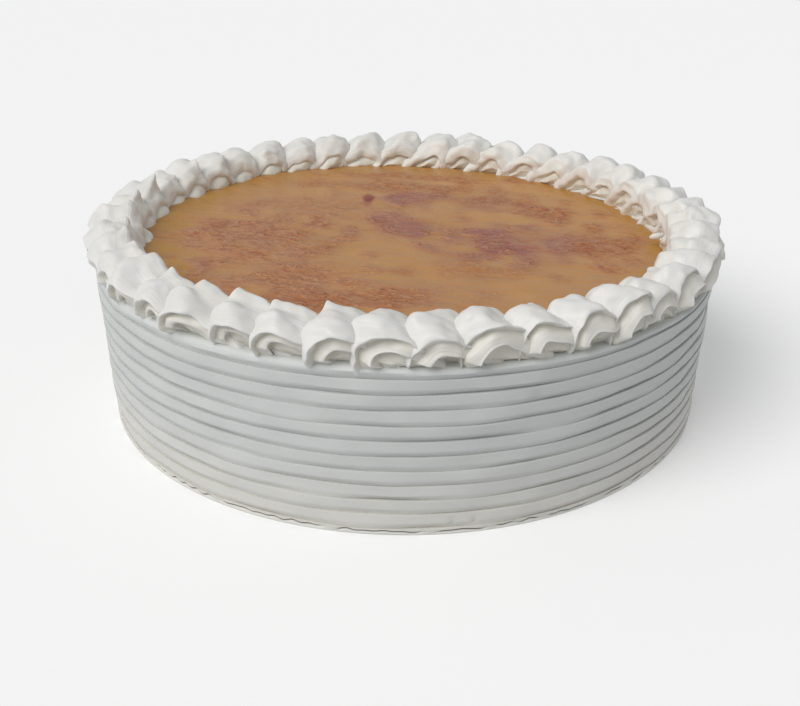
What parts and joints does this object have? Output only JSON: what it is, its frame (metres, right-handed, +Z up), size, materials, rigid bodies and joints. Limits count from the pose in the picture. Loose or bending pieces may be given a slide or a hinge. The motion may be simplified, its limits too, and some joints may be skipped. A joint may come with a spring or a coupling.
{
  "type": "san marcos cake",
  "caption": "Round, uncut layer cake: side coated in combed whipped cream, a glossy toasted egg-yolk sheet on top, and a ring of piped cream shells round the rim.",
  "frame": {"origin": "centre of the round underside, on the surface that the cake stands on", "axes": "+Z up; -Y towards the front as pictured; +X to the right seen from the front"},
  "size_m": [0.255, 0.2542, 0.0793],
  "materials": {
    "combed_cream": "matt whipped cream, finely pitted",
    "piped_cream": "whipped cream, smooth with a soft sheen",
    "toasted_yolk": "satin glaze, finely wrinkled where it is toasted"
  },
  "bodies": {
    "root": {"cake_body": "combed_cream", "yolk_sheet": "toasted_yolk", "shell_01": "piped_cream", "shell_02": "piped_cream", "shell_03": "piped_cream", "shell_04": "piped_cream", "shell_05": "piped_cream", "shell_06": "piped_cream", "shell_07": "piped_cream", "shell_08": "piped_cream", "shell_09": "piped_cream", "shell_10": "piped_cream", "shell_11": "piped_cream", "shell_12": "piped_cream", "shell_13": "piped_cream", "shell_14": "piped_cream", "shell_15": "piped_cream", "shell_16": "piped_cream", "shell_17": "piped_cream", "shell_18": "piped_cream", "shell_19": "piped_cream", "shell_20": "piped_cream", "shell_21": "piped_cream", "shell_22": "piped_cream", "shell_23": "piped_cream", "shell_24": "piped_cream", "shell_25": "piped_cream", "shell_26": "piped_cream", "shell_27": "piped_cream", "shell_28": "piped_cream", "shell_29": "piped_cream", "shell_30": "piped_cream", "shell_31": "piped_cream", "shell_32": "piped_cream", "shell_33": "piped_cream", "shell_34": "piped_cream", "shell_35": "piped_cream", "shell_36": "piped_cream", "shell_37": "piped_cream", "shell_38": "piped_cream", "shell_39": "piped_cream", "shell_40": "piped_cream", "shell_41": "piped_cream", "shell_42": "piped_cream", "shell_43": "piped_cream"}
  },
  "joints": []
}
